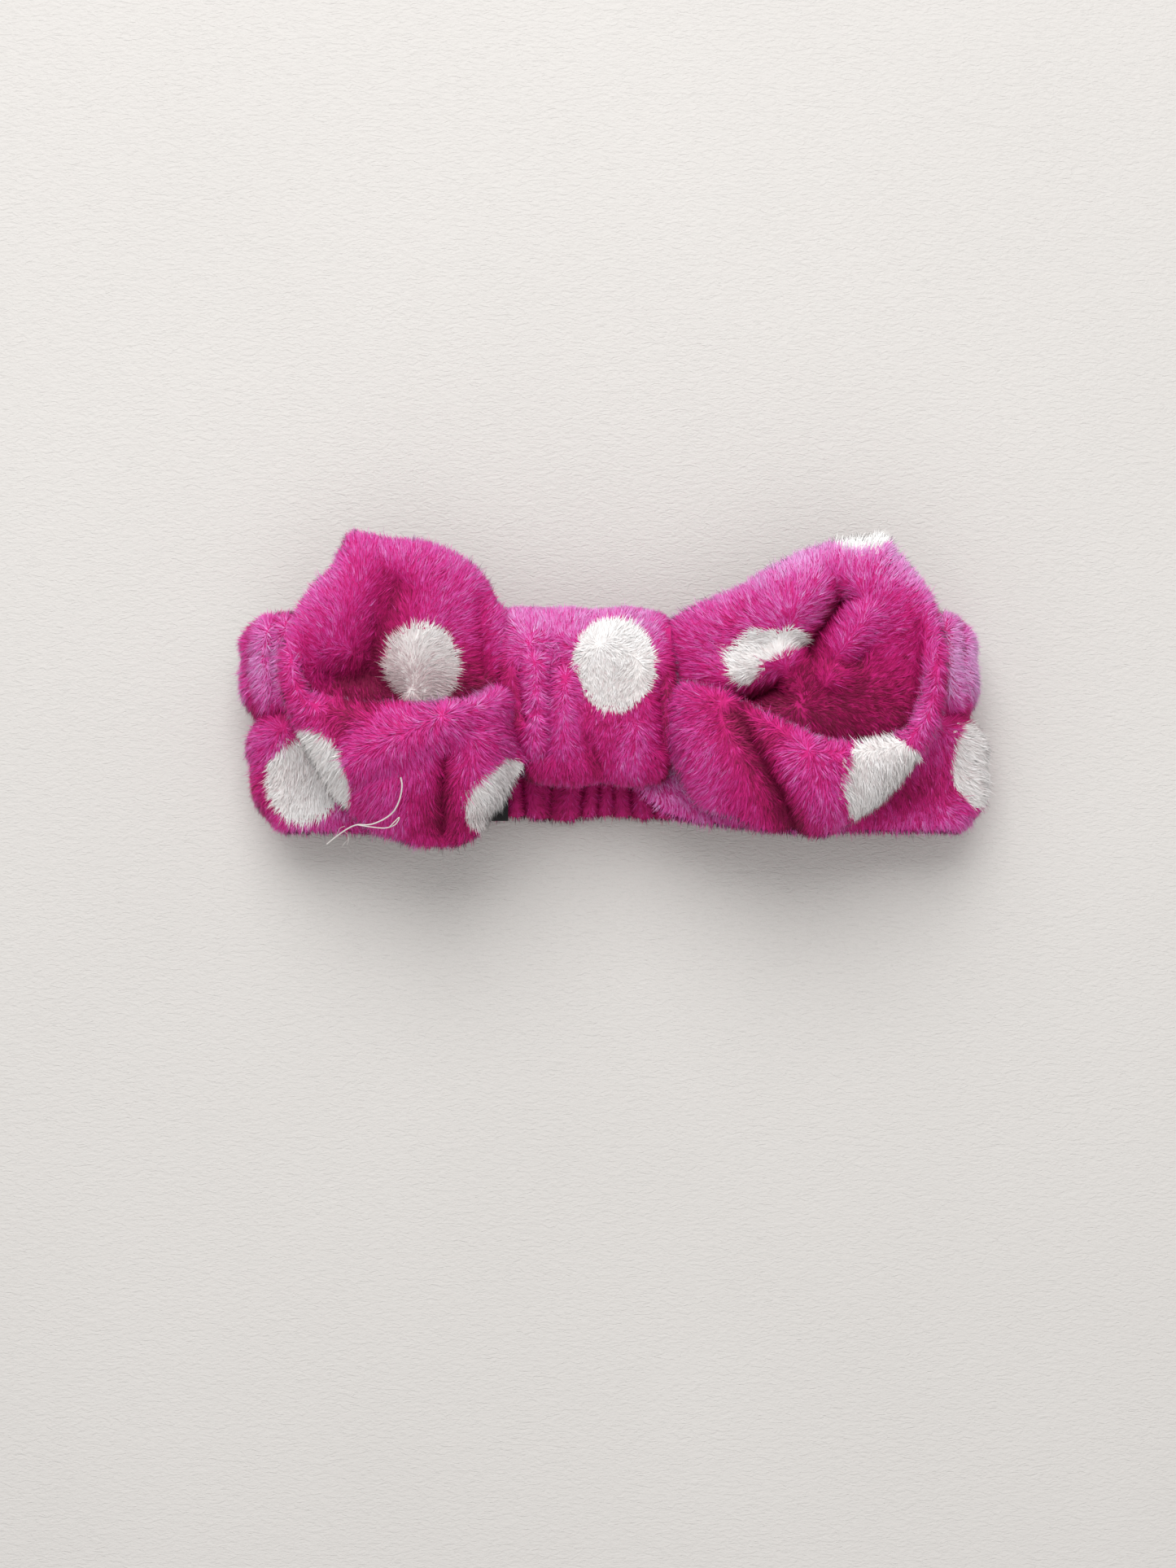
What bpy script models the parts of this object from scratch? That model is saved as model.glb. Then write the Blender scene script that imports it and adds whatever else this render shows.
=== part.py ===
"""A plush spa headband with a bow, lying flat with its bow up. Metres, +Z up.

The band is one closed ring of cloth pressed flat. Its gathered elastic half lies on the table, its
plain half lies above that, and the ring turns round at a side fold at each end of X. Y runs across
the band. The bow is a strip pinched under a knot wrap, with one open loop on each side. The origin
is on the table under the middle of the object.
"""

import math

import bmesh
import bpy
from mathutils import Vector

MM = 0.001

# The cloth
PLY = 4.5 * MM  # one layer of plush cloth with its pile
CLEARANCE = 0.3 * MM  # between two pieces that touch
EDGE_START = 0.7  # where a strip's rounded edge starts, as a share of its half width
THINNEST = 0.12  # thickness at a strip's sewn edge, as a share of the ply

# The band
BAND_LENGTH = 220 * MM  # over both side folds
BAND_WIDTH = 62 * MM
BAND_Y = -8.5 * MM  # the middle of the band's width
HEAD_GAP = 11 * MM  # between the two halves of the flattened ring
WAIST_WIDTH = 34 * MM  # the front half, gathered inside the knot wrap
WAIST_SQUEEZE = 0.7  # thickness there, as a share of the thickness elsewhere
WAIST_RAMP = 26 * MM  # along the band, from the knot's side to full width

# The elastic
ELASTIC_WIDTH = 25 * MM
ELASTIC_THICKNESS = 1 * MM
ELASTIC_LENGTH = 176 * MM
TACK_LENGTH = 3 * MM  # along the band
TACK_INSET = 1.5 * MM  # from the elastic's end
TACK_BAR = 0.8 * MM

# The knot wrap and what it holds
KNOT_X = -8 * MM
KNOT_Y = -1.2 * MM
KNOT_LENGTH = 50 * MM  # along X
KNOT_WIDTH = 53 * MM  # along Y
KNOT_WALL = 4.1 * MM
KNOT_SLANT = 8 * MM  # how far the left side leans in at the bottom
KNOT_SLANT_START = 5 * MM  # the Y where that begins
KNOT_ROUNDNESS = 3.0  # superellipse exponent of its section
CORE_WIDTH = 40 * MM
CORE_HEIGHT = 9.8 * MM
CORE_WAIST = 1.4 * MM  # depth of the groove that the gathering thread pulls in
GATHER_THREAD = 0.9 * MM
SEAM_LENGTH = 40 * MM
SEAM_BAR = 0.8 * MM

# The bow's loops
LEFT_REACH = 55 * MM  # outwards from the knot's side
RIGHT_REACH = 67 * MM
LOOP_HALF_SPAN = 45 * MM  # across the band
LOOP_RISE = 21 * MM  # of the mouth's lip above cloth that lies on the band
ROOT_PLY = 2.1 * MM  # a ply squeezed under the knot wrap
ROOT_GAP = 2.4 * MM  # between the knot wrap's side and the loop
ROOT_RAMP = 0.16  # share of the loop's way round in which it grows to full thickness

# The label in the band's lower edge
LABEL_X = -33 * MM
LABEL_WIDTH = 9 * MM
LABEL_LENGTH = 11 * MM
LABEL_THICKNESS = 0.7 * MM
LABEL_OVER = 0.3  # share of its length on the band's side of the edge
LABEL_HEIGHT = 0.9  # of its middle, as a share of the band's half thickness
LABEL_TILT = math.radians(15)

# The loose sewing thread
THREAD_DIAMETER = 0.5 * MM
THREAD_ROUTE = (
    (-81.9, -43.5, 37.0),
    (-78.5, -41.0, 40.5),
    (-75.1, -38.9, 44.0),
    (-72.2, -37.8, 47.0),
    (-69.4, -37.8, 49.0),
    (-67.2, -37.4, 50.5),
    (-64.5, -36.3, 52.5),
    (-62.3, -34.9, 54.2),
    (-60.7, -33.2, 55.6),
    (-59.3, -30.3, 57.4),
    (-58.6, -26.9, 58.9),
    (-58.9, -24.6, 59.6),
)  # in millimetres

# Each rib of a loop crosses its strip: from the edge at the mouth to the far edge. A point is (out
# from the knot's side, across, up), as shares of the reach, the half span and the rise. The last
# number is the belly between the edges. The strip leaves the knot at the back of the loop, goes out
# along the band, turns round and comes back to the knot in front.
LEFT_RIBS = (
    ((0.01, 0.52, 0.00), (0.01, -0.27, 0.00), 0.0),
    ((0.22, 0.74, 0.13), (0.16, -0.33, 0.00), -0.5),
    ((0.47, 0.91, 0.36), (0.42, -0.35, 0.02), -1.5),
    ((0.71, 0.98, 0.58), (0.67, -0.37, 0.06), -1.0),
    ((0.87, 0.60, 0.68), (0.84, -0.43, 0.12), 1.5),
    ((0.96, 0.22, 0.74), (0.90, -0.55, 0.18), 3.0),
    ((0.94, -0.05, 0.80), (0.84, -0.75, 0.20), 5.0),
    ((0.64, -0.13, 0.92), (0.61, -0.93, 0.18), 6.5),
    ((0.33, -0.14, 0.82), (0.29, -0.96, 0.16), 6.0),
    ((0.13, -0.08, 0.52), (0.07, -0.80, 0.10), 3.5),
    ((0.01, 0.03, 0.30), (0.01, -0.46, 0.16), 0.0),
)
RIGHT_RIBS = (
    ((0.01, 0.48, 0.00), (0.01, -0.29, 0.00), 0.0),
    ((0.17, 0.60, 0.13), (0.17, -0.35, 0.00), -0.5),
    ((0.43, 0.78, 0.36), (0.43, -0.36, 0.02), -1.5),
    ((0.76, 0.96, 0.58), (0.72, -0.37, 0.06), -1.0),
    ((0.95, 0.64, 0.70), (0.89, -0.44, 0.12), 1.5),
    ((1.00, 0.20, 0.74), (0.94, -0.55, 0.18), 3.0),
    ((0.93, -0.24, 0.82), (0.84, -0.71, 0.20), 4.0),
    ((0.67, -0.36, 0.88), (0.62, -0.95, 0.18), 5.5),
    ((0.36, -0.18, 0.78), (0.36, -0.92, 0.16), 5.5),
    ((0.14, 0.00, 0.48), (0.14, -0.72, 0.10), 3.5),
    ((0.01, 0.12, 0.30), (0.01, -0.48, 0.16), 0.0),
)

# Faces
BAND_STATIONS = (-1, -0.97, -0.9, -0.8, -0.7, -0.35, 0, 0.35, 0.7, 0.8, 0.9, 0.97, 1)
FRONT_STEPS = 20
BACK_STEPS = 6
FOLD_STEPS = 8
LOOP_STEPS = 26
LOOP_STATIONS = (-1, -0.93, -0.7, -0.35, 0, 0.35, 0.7, 0.93, 1)
RING_SIDES = 32
KNOT_STEPS = 6
THREAD_SIDES = 8

# What follows from those
HALF_BAND = PLY + CLEARANCE  # from the middle of the band's two plies to its face
BACK_Z = HALF_BAND
FRONT_Z = BACK_Z + 2 * HALF_BAND + HEAD_GAP
BAND_TOP = FRONT_Z + HALF_BAND
FOLD_RADIUS = (FRONT_Z - BACK_Z) / 2
FOLD_Z = (FRONT_Z + BACK_Z) / 2
FOLD_X = BAND_LENGTH / 2 - FOLD_RADIUS - HALF_BAND
WAIST_HALF = HALF_BAND * WAIST_SQUEEZE
CORE_Z = FRONT_Z + WAIST_HALF + CLEARANCE + CORE_HEIGHT / 2
KNOT_INSIDE_TOP = CORE_Z + CORE_HEIGHT / 2 + 2 * CLEARANCE
KNOT_INSIDE_BOTTOM = FRONT_Z - WAIST_HALF - 3 * CLEARANCE
KNOT_Z = (KNOT_INSIDE_TOP + KNOT_INSIDE_BOTTOM) / 2
KNOT_HALF_HEIGHT = (KNOT_INSIDE_TOP - KNOT_INSIDE_BOTTOM) / 2 + KNOT_WALL
ROOT_BACK_Z = CORE_Z - ROOT_PLY - CLEARANCE
ROOT_FRONT_Z = CORE_Z + ROOT_PLY + CLEARANCE


def mix(a, b, share):
    return a + (b - a) * share


def smooth(value):
    value = min(max(value, 0.0), 1.0)
    return value * value * (3 - 2 * value)


def spline(points, share):
    """The point at share of the way along a smooth curve through the points (Catmull-Rom)."""
    place = min(max(share, 0.0), 1.0) * (len(points) - 1)
    i = min(int(place), len(points) - 2)
    t = place - i
    b, c = points[i], points[i + 1]
    a = points[i - 1] if i else b * 2 - c
    d = points[i + 2] if i + 2 < len(points) else c * 2 - b
    return 0.5 * (b * 2 + (c - a) * t + (a * 2 - b * 5 + c * 4 - d) * t**2 + (b * 3 - a - c * 3 + d) * t**3)


def edge_round(across):
    """How thick a ply is at a place across its strip, as a share: full inside, round at the edges."""
    past = max(0.0, (abs(across) - EDGE_START) / (1 - EDGE_START))
    return max(THINNEST, math.sqrt(max(0.0, 1 - past * past)))


def make_material(name, color, roughness):
    material = bpy.data.materials.new(name)
    material.use_nodes = True
    shader = material.node_tree.nodes["Principled BSDF"]
    shader.inputs["Base Color"].default_value = (*color, 1.0)
    shader.inputs["Roughness"].default_value = roughness
    shader.inputs["Metallic"].default_value = 0.0
    return material


def make_solid(name, points, faces, material, parent=None):
    """A closed mesh from points in the object's frame, with its origin where its parent is."""
    origin = parent.location if parent else Vector()
    shape = bmesh.new()
    corners = [shape.verts.new(Vector(point) - origin) for point in points]
    for face in faces:
        shape.faces.new([corners[i] for i in face])
    bmesh.ops.recalc_face_normals(shape, faces=shape.faces)
    mesh = bpy.data.meshes.new(name)
    shape.to_mesh(mesh)
    shape.free()
    mesh.materials.append(material)
    mesh.shade_smooth()
    mesh.set_sharp_from_angle(angle=math.radians(50))
    solid = bpy.data.objects.new(name, mesh)
    solid.parent = parent
    bpy.context.collection.objects.link(solid)
    return solid


def make_slab(name, low, high, material, parent=None):
    """A closed solid between two grids of points. Every slab splits its quads the same way, so two
    that share a twisted middle surface stay apart."""
    rows, columns = len(low), len(low[0])
    points = [point for row in low for point in row] + [point for row in high for point in row]
    top = rows * columns

    def at(row, column):
        return row * columns + column

    faces = []
    for row in range(rows - 1):
        for column in range(columns - 1):
            a, b, c, d = at(row, column), at(row + 1, column), at(row + 1, column + 1), at(row, column + 1)
            for triangle in ((a, b, c), (a, c, d)):
                faces += [triangle, [top + corner for corner in triangle]]
    rim = [at(row, 0) for row in range(rows)]
    rim += [at(rows - 1, column) for column in range(1, columns)]
    rim += [at(row, columns - 1) for row in range(rows - 2, -1, -1)]
    rim += [at(0, column) for column in range(columns - 2, 0, -1)]
    for here, there in zip(rim, rim[1:] + rim[:1]):
        faces.append([here, there, top + there, top + here])
    return make_solid(name, points, faces, material, parent)


def make_tube(name, rings, material, parent=None):
    """A solid through closed rings of points, with a flat face at each end."""
    sides = len(rings[0])
    points = [point for ring in rings for point in ring]
    last = (len(rings) - 1) * sides
    faces = [list(range(sides)), list(range(last, last + sides))]
    for start in range(0, last, sides):
        for i in range(sides):
            j = (i + 1) % sides
            faces.append([start + i, start + j, start + sides + j, start + sides + i])
    return make_solid(name, points, faces, material, parent)


def make_loop_of_rings(name, rings, material, parent=None):
    """A closed ring solid, such as a wrap, through rings of points in which the last meets the first."""
    sides, count = len(rings[0]), len(rings)
    points = [point for ring in rings for point in ring]
    faces = []
    for ring in range(count):
        onward = (ring + 1) % count
        for i in range(sides):
            j = (i + 1) % sides
            faces.append([ring * sides + i, ring * sides + j, onward * sides + j, onward * sides + i])
    return make_solid(name, points, faces, material, parent)


def waist(x):
    """0 at full width, 1 inside the knot wrap, for the front half at x."""
    return 1 - smooth((abs(x - KNOT_X) - KNOT_LENGTH / 2) / WAIST_RAMP)


def front_point(x, across, height):
    """A point of the front half. height is in shares of its half thickness, up from its middle."""
    share = waist(x)
    half = mix(BAND_WIDTH, WAIST_WIDTH, share) / 2
    y = mix(BAND_Y, KNOT_Y, share) + half * across
    return (x, y, FRONT_Z + height * mix(HALF_BAND, WAIST_HALF, share))


def fold_point(side, angle, across, height):
    """A point of a side fold. The angle runs from 0, under, to pi, over."""
    radius = FOLD_RADIUS + height * HALF_BAND
    x = side * (FOLD_X + radius * math.sin(angle))
    return (x, BAND_Y + BAND_WIDTH / 2 * across, FOLD_Z - radius * math.cos(angle))


def ply_heights(across, inner=CLEARANCE / 2):
    """Where a ply starts and ends, out from the middle of the band, in shares of its half thickness."""
    return inner / HALF_BAND, edge_round(across)


def make_band_plies(name, stations, place, plush, parent=None, inner=None):
    """The two plies of a stretch of band. place(station, across, height) is a point of it."""
    for suffix, side in (("outer", 1), ("lining", -1)):
        near, far = [], []
        for station in stations:
            bounds = [ply_heights(v, inner(v)) if inner else ply_heights(v) for v in BAND_STATIONS]
            near.append([place(station, v, side * low) for v, (low, _) in zip(BAND_STATIONS, bounds)])
            far.append([place(station, v, side * high) for v, (_, high) in zip(BAND_STATIONS, bounds)])
        make_slab(f"{name}_{suffix}", near, far, plush[suffix], parent)


def evenly(start, end, steps):
    return [mix(start, end, i / steps) for i in range(steps + 1)]


def make_band(plush, front_pivot):
    end = FOLD_X - CLEARANCE / 2
    make_band_plies("front_band", evenly(-end, end, FRONT_STEPS), front_point, plush, front_pivot)

    def slot(across):
        inside = abs(across) * BAND_WIDTH < ELASTIC_WIDTH + 4 * CLEARANCE
        return ELASTIC_THICKNESS / 2 + CLEARANCE if inside else CLEARANCE / 2

    def back_point(x, across, height):
        return (x, BAND_Y + BAND_WIDTH / 2 * across, BACK_Z - height * HALF_BAND)

    make_band_plies("back_band", evenly(-end, end, BACK_STEPS), back_point, plush, inner=slot)
    for name, side in (("left_side", -1), ("right_side", 1)):

        def side_point(angle, across, height, side=side):
            return fold_point(side, angle, across, height)

        make_band_plies(name, evenly(0, math.pi, FOLD_STEPS), side_point, plush)


def box_points(centre, size, tilt=0.0):
    """The corners of a box, tilted about X."""
    corners = []
    for x in (-0.5, 0.5):
        for y in (-0.5, 0.5):
            for z in (-0.5, 0.5):
                turned = (
                    y * size[1] * math.cos(tilt) - z * size[2] * math.sin(tilt),
                    y * size[1] * math.sin(tilt) + z * size[2] * math.cos(tilt),
                )
                corners.append((centre[0] + x * size[0], centre[1] + turned[0], centre[2] + turned[1]))
    return corners


BOX_FACES = [[0, 1, 3, 2], [4, 6, 7, 5], [0, 4, 5, 1], [2, 3, 7, 6], [0, 2, 6, 4], [1, 5, 7, 3]]


def make_box(name, centre, size, material, parent=None, tilt=0.0):
    return make_solid(name, box_points(centre, size, tilt), BOX_FACES, material, parent)


def make_elastic(webbing):
    make_box("elastic_strip", (0, BAND_Y, BACK_Z), (ELASTIC_LENGTH, ELASTIC_WIDTH, ELASTIC_THICKNESS), webbing)


def make_tacks(thread):
    """A bar of stitches over each end of the elastic, on the band's head side."""
    for name, side in (("left", -1), ("right", 1)):
        x = side * (ELASTIC_LENGTH / 2 - TACK_INSET - TACK_LENGTH / 2)
        z = BACK_Z + HALF_BAND + CLEARANCE + TACK_BAR / 2
        make_box(f"elastic_tack_{name}", (x, BAND_Y, z), (TACK_LENGTH, ELASTIC_WIDTH, TACK_BAR), thread)


def make_label(webbing):
    """A blank woven tab that hangs over the back half's lower edge."""
    y = BAND_Y - BAND_WIDTH / 2 + LABEL_LENGTH * LABEL_OVER
    z = BACK_Z + HALF_BAND * LABEL_HEIGHT
    make_box("side_label", (LABEL_X, y, z), (LABEL_WIDTH, LABEL_LENGTH, LABEL_THICKNESS), webbing, tilt=LABEL_TILT)


def knot_x(share, y):
    """X at a share of the way from the knot's left side to its right side, for a point at y."""
    lean = KNOT_SLANT * smooth((KNOT_SLANT_START - y) / (KNOT_SLANT_START + KNOT_WIDTH / 2))
    return mix(KNOT_X - KNOT_LENGTH / 2 + lean, KNOT_X + KNOT_LENGTH / 2, share)


def oval(angle, half_width, half_height, exponent):
    """A point of a superellipse in the Y and Z plane, from its centre."""
    c, s = math.cos(angle), math.sin(angle)
    return (
        math.copysign(abs(c) ** (2 / exponent), c) * half_width,
        math.copysign(abs(s) ** (2 / exponent), s) * half_height,
    )


def knot_section(angle):
    """A ring of points round the wall of the knot wrap at one angle of its section."""
    points = []
    for wall, shares in ((0.0, evenly(0, 1, KNOT_STEPS)), (KNOT_WALL, evenly(1, 0, KNOT_STEPS))):
        for share in shares:
            y, z = oval(angle, KNOT_WIDTH / 2 - wall, KNOT_HALF_HEIGHT - wall, KNOT_ROUNDNESS)
            y += KNOT_Y
            points.append((knot_x(share, y), y, KNOT_Z + z))
    return points


def make_knot(plush, thread, parent):
    angles = [math.tau * i / RING_SIDES for i in range(RING_SIDES)]
    make_loop_of_rings("knot_wrap", [knot_section(angle) for angle in angles], plush["outer"], parent)
    seam_z = KNOT_Z - KNOT_HALF_HEIGHT - CLEARANCE - SEAM_BAR / 2
    make_box("knot_seam_stitches", (KNOT_X, KNOT_Y, seam_z), (SEAM_LENGTH, 2 * SEAM_BAR, SEAM_BAR), thread, parent)


def core_waist(share):
    """Depth of the gathering groove at a share of the way along the core."""
    return CORE_WAIST * math.exp(-(((share - 0.5) / 0.08) ** 2))


def make_core(plush, thread, parent):
    """The pinched middle of the bow's strip, and the thread wound round it."""
    rings = []
    end = CLEARANCE / KNOT_LENGTH
    for share in (end, 0.2, 0.4, 0.46, 0.5, 0.54, 0.6, 0.8, 1 - end):
        ring = []
        for i in range(RING_SIDES):
            angle = math.tau * i / RING_SIDES
            groove = core_waist(share)
            y, z = oval(angle, CORE_WIDTH / 2 - groove, CORE_HEIGHT / 2 - groove, 2.0)
            y += KNOT_Y
            ring.append((knot_x(share, y), y, CORE_Z + z))
        rings.append(ring)
    make_tube("bow_core", rings, plush["outer"], parent)
    out = GATHER_THREAD / 2 + CLEARANCE / 2 - CORE_WAIST
    rings = []
    for i in range(RING_SIDES):
        angle = math.tau * i / RING_SIDES
        y, z = oval(angle, CORE_WIDTH / 2 + out, CORE_HEIGHT / 2 + out, 2.0)
        outwards = Vector((0, y / (CORE_WIDTH / 2 + out) ** 2, z / (CORE_HEIGHT / 2 + out) ** 2)).normalized()
        middle = Vector((knot_x(0.5, y + KNOT_Y), y + KNOT_Y, CORE_Z + z))
        ring = []
        for side in range(THREAD_SIDES):
            turn = math.tau * side / THREAD_SIDES
            ring.append(middle + (outwards * math.cos(turn) + Vector((1, 0, 0)) * math.sin(turn)) * GATHER_THREAD / 2)
        rings.append(ring)
    make_loop_of_rings("bow_gather_thread", rings, thread, parent)


def loop_surface(side, reach, ribs):
    """The middle surface of a loop's strip as a function of the share round it and the place across."""
    knot_side = 0.0 if side < 0 else 1.0
    lying = BAND_TOP + CLEARANCE + HALF_BAND

    def rib_end(which):
        points = []
        for number, rib in enumerate(ribs):
            out, across, up = rib[which]
            y = across * LOOP_HALF_SPAN
            z = lying + up * LOOP_RISE
            if number in (0, len(ribs) - 1):
                z = ROOT_BACK_Z if number == 0 else ROOT_FRONT_Z
            points.append(Vector((knot_x(knot_side, y) + side * (out * reach + ROOT_GAP), y, z)))
        return points

    mouth, far = rib_end(0), rib_end(1)
    bellies = [Vector((0, 0, rib[2] * MM)) for rib in ribs]

    def flat(share, across):
        return spline(mouth, share).lerp(spline(far, share), (1 - across) / 2)

    def outwards(place, share, across):
        step = 1e-3
        along = place(min(share + step, 1), across) - place(max(share - step, 0), across)
        width = place(share, min(across + step, 1)) - place(share, max(across - step, -1))
        return width.cross(along).normalized() * side

    def bellied(share, across):
        belly = spline(bellies, share).z * (1 - across * across)
        return flat(share, across) + outwards(flat, share, across) * belly

    return bellied, lambda share, across: outwards(bellied, share, across)


def make_bow_loop(name, side, reach, ribs, plush, parent):
    """The outer and the inner ply of a loop, which meet at the middle surface of its strip."""
    surface, normal = loop_surface(side, reach, ribs)
    for suffix, way in (("outer", 1), ("lining", -1)):
        near, far = [], []
        for share in evenly(0, 1, LOOP_STEPS):
            root = smooth(min(share, 1 - share) / ROOT_RAMP)
            ply = mix(ROOT_PLY, PLY, root)
            near_row, far_row = [], []
            for across in LOOP_STATIONS:
                point, out = surface(share, across), normal(share, across) * way
                near_row.append(point + out * CLEARANCE / 2)
                far_row.append(point + out * max(ply * edge_round(across), 2 * CLEARANCE))
            near.append(near_row)
            far.append(far_row)
        make_slab(f"{name}_{suffix}", near, far, plush[suffix], parent)


def make_loose_thread(thread):
    route = [Vector(point) * MM for point in THREAD_ROUTE]
    length = sum((b - a).length for a, b in zip(route, route[1:]))
    count = int(length / (3 * THREAD_DIAMETER))
    curve = bpy.data.curves.new("loose_thread", "CURVE")
    curve.dimensions = "3D"
    line = curve.splines.new("POLY")
    line.points.add(count - 1)
    for i, point in enumerate(line.points):
        point.co = (*spline(route, i / (count - 1)), 1.0)
    curve.bevel_depth = THREAD_DIAMETER / 2
    curve.bevel_resolution = 2
    curve.use_fill_caps = True
    curve.materials.append(thread)
    bpy.context.collection.objects.link(bpy.data.objects.new("loose_thread", curve))


def make_pivot(name, location):
    pivot = bpy.data.objects.new(name, None)
    pivot.location = location
    bpy.context.collection.objects.link(pivot)
    return pivot


def main():
    for old in list(bpy.data.objects):
        bpy.data.objects.remove(old)
    fuchsia, magenta = (0.55, 0.03, 0.22), (0.45, 0.015, 0.15)
    plush = {
        "outer": make_material("plush_outer", fuchsia, 0.9),
        "lining": make_material("plush_lining", magenta, 0.9),
    }
    webbing = make_material("elastic_webbing", (0.75, 0.74, 0.72), 0.7)
    tape = make_material("label_tape", (0.02, 0.02, 0.02), 0.6)
    thread = make_material("white_thread", (0.8, 0.78, 0.76), 0.5)
    pivots = {
        "front": make_pivot("front_pivot", (0, 0, FRONT_Z)),
        "left": make_pivot("left_loop_pivot", (knot_x(0, KNOT_SLANT_START), 0, KNOT_INSIDE_TOP)),
        "right": make_pivot("right_loop_pivot", (knot_x(1, KNOT_SLANT_START), 0, KNOT_INSIDE_TOP)),
    }
    make_band(plush, pivots["front"])
    make_elastic(webbing)
    make_tacks(thread)
    make_label(tape)
    make_knot(plush, thread, pivots["front"])
    make_core(plush, thread, pivots["front"])
    make_bow_loop("bow_left", -1, LEFT_REACH, LEFT_RIBS, plush, pivots["left"])
    make_bow_loop("bow_right", 1, RIGHT_REACH, RIGHT_RIBS, plush, pivots["right"])
    make_loose_thread(thread)


main()
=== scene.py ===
"""The visual model of a plush spa headband with a bow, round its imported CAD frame.

Every piece of cloth is a strip of two plies sewn at their edges. A strip's backing is a closed skin
over its middle surface, and its pile is real fibres that grow from that skin. Metres, +Z up.
"""

import math

import bpy
import numpy as np
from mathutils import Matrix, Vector


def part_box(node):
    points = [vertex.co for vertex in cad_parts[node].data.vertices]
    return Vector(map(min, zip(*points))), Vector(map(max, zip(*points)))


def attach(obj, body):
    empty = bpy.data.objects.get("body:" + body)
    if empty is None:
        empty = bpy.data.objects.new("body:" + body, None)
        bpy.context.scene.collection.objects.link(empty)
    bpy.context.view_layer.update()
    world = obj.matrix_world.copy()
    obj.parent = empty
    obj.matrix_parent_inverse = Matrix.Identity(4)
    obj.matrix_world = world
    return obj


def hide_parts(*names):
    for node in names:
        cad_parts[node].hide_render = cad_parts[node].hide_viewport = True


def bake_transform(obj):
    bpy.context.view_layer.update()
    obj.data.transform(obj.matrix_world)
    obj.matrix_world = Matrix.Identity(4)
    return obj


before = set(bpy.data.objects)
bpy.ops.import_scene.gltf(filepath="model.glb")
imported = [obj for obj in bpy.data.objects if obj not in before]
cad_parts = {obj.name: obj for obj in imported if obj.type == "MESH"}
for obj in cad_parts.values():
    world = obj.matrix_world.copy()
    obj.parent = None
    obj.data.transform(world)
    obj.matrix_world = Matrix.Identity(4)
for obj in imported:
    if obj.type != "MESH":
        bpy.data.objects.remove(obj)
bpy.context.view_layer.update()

MM = 0.001

# Camera, straight above the table
CAMERA_HEIGHT = 630 * MM
CAMERA_AIM = (-7.7 * MM, -26.4 * MM)
CAMERA_LENS = 47.9

# The cloth
PILE_RISE = 1.9 * MM  # how far the pile lifts the cloth's surface off its backing
PILE_LENGTH = 2.5 * MM
FIBRE_WIDTH = 0.25 * MM
FIBRE_THICKNESS = 0.05 * MM
MOST_FIBRES = 98000  # in one piece, at two faces each
TUFT = 0.95 * MM  # fibres this near each other lean together
WISPS = 0.07  # the share of fibres that stand out past the others
WISP_LENGTH = 1.6  # as a share of the others' length
LIFT = 0.62  # how steeply a fibre rises, against how far it lies along the comb
TUFT_PULL = 0.35  # how far a fibre's tip is drawn to the middle of its tuft's tips
MIDDLE_TONE = 2.1  # among the six tones of a colour
TABLE_GAP = 0.1 * MM  # the lowest that a fibre reaches
EDGE_START = 0.78  # where a strip's rounded edge starts, as a share of its half width
THINNEST = 0.2 * MM

# Faces
ACROSS = 41
STEP = 1.4 * MM  # between rows of a strip

RNG_SEED = 11
OWN_SHADE = 0.3  # the share of its own shape in a fibre's shading


def share_of(node, x, y, z):
    """A point at shares of a CAD node's box."""
    low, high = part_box(node)
    return np.array([low[i] + (high[i] - low[i]) * s for i, s in enumerate((x, y, z))])


# What the frame gives
KNOT_LOW, KNOT_HIGH = (np.array(corner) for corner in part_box("knot_wrap"))
FRONT_LOW, FRONT_HIGH = (np.array(corner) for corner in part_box("front_band_outer"))
LINING_HIGH = np.array(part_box("front_band_lining")[1])
BACK_LOW = np.array(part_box("back_band_outer")[0])
KNOT_X = (KNOT_LOW[0] + KNOT_HIGH[0]) / 2
KNOT_Y = (KNOT_LOW[1] + KNOT_HIGH[1]) / 2
FRONT_Z = (FRONT_LOW[2] + LINING_HIGH[2]) / 2
HALF_BAND = FRONT_HIGH[2] - FRONT_Z
BACK_Z = BACK_LOW[2] + HALF_BAND
FOLD_X = FRONT_HIGH[0]
FOLD_Z = (FRONT_Z + BACK_Z) / 2
FOLD_RADIUS = (FRONT_Z - BACK_Z) / 2
BAND_Y = (FRONT_LOW[1] + FRONT_HIGH[1]) / 2
BAND_HALF = (FRONT_HIGH[1] - FRONT_LOW[1]) / 2
WAIST_HALF = 17 * MM
WAIST_RAMP = 26 * MM
BACKING = HALF_BAND - PILE_RISE


# ---------------------------------------------------------------- numbers


def smooth(value):
    value = np.clip(value, 0.0, 1.0)
    return value * value * (3 - 2 * value)


def mix(a, b, share):
    return a + (b - a) * share


def unit(vectors):
    return vectors / np.maximum(np.linalg.norm(vectors, axis=-1, keepdims=True), 1e-12)


def wander(points, size, seed):
    """A smooth number between about -1 and 1 at each point, whose lumps are about this size."""
    rng = np.random.default_rng(seed)
    total = np.zeros(points.shape[:-1])
    for _ in range(5):
        direction = unit(rng.normal(size=3)) * math.tau / (size * rng.uniform(1.4, 2.6))
        total += np.sin(points @ direction + rng.uniform(0, math.tau))
    return total / 2.6


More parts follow.
